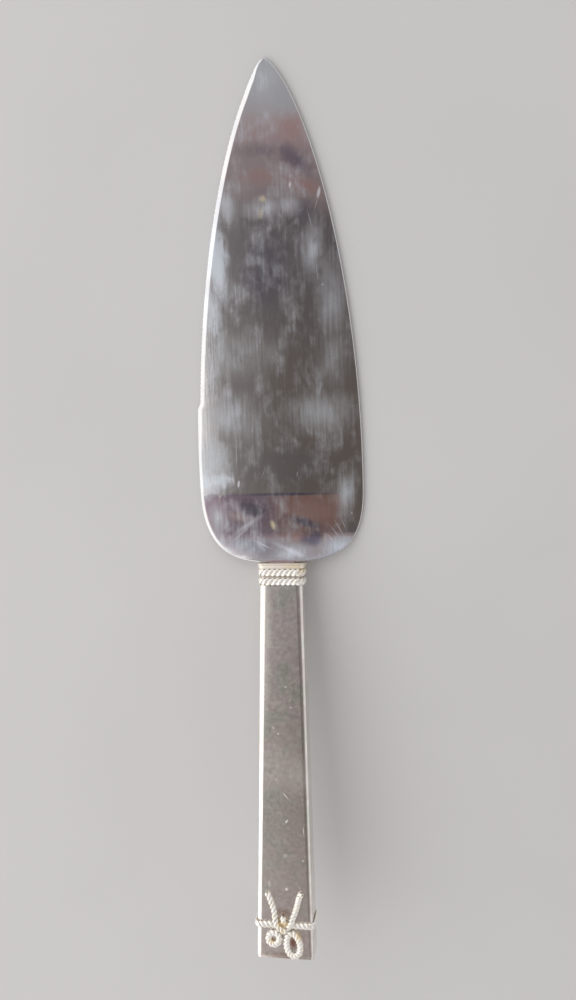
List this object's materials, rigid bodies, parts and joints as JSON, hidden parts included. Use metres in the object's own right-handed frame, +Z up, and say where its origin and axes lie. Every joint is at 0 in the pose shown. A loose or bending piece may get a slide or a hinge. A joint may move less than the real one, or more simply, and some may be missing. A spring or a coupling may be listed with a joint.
{
  "type": "cake server",
  "caption": "Cake server with a leaf-shaped steel blade, a scalloped cutting edge and a hollow rectangular handle trimmed with twisted rope bands and a rope bow.",
  "frame": {"origin": "centre of the bounding box's bottom, on the table that the blade's flat underside lies on", "axes": "+Y from the butt to the blade's tip, +Z up out of the blade's food side, +X to the right of someone who looks from the butt to the tip"},
  "size_m": [0.0538, 0.2798, 0.0324],
  "materials": {
    "steel": "polished",
    "silver_plate": "polished",
    "trim": "gloss",
    "cement": "matte"
  },
  "bodies": {
    "root": {"blade": "steel", "tang_cement": "cement", "collar": "trim", "handle_front_shell": "silver_plate", "handle_back_shell": "silver_plate", "butt_cap": "silver_plate", "collar_rope_upper": "trim", "collar_rope_lower": "trim", "band_rope": "trim", "bow_knot": "trim", "bow_loop_left": "trim", "bow_loop_right": "trim", "bow_tail_left": "trim", "bow_tail_right": "trim"}
  },
  "joints": []
}
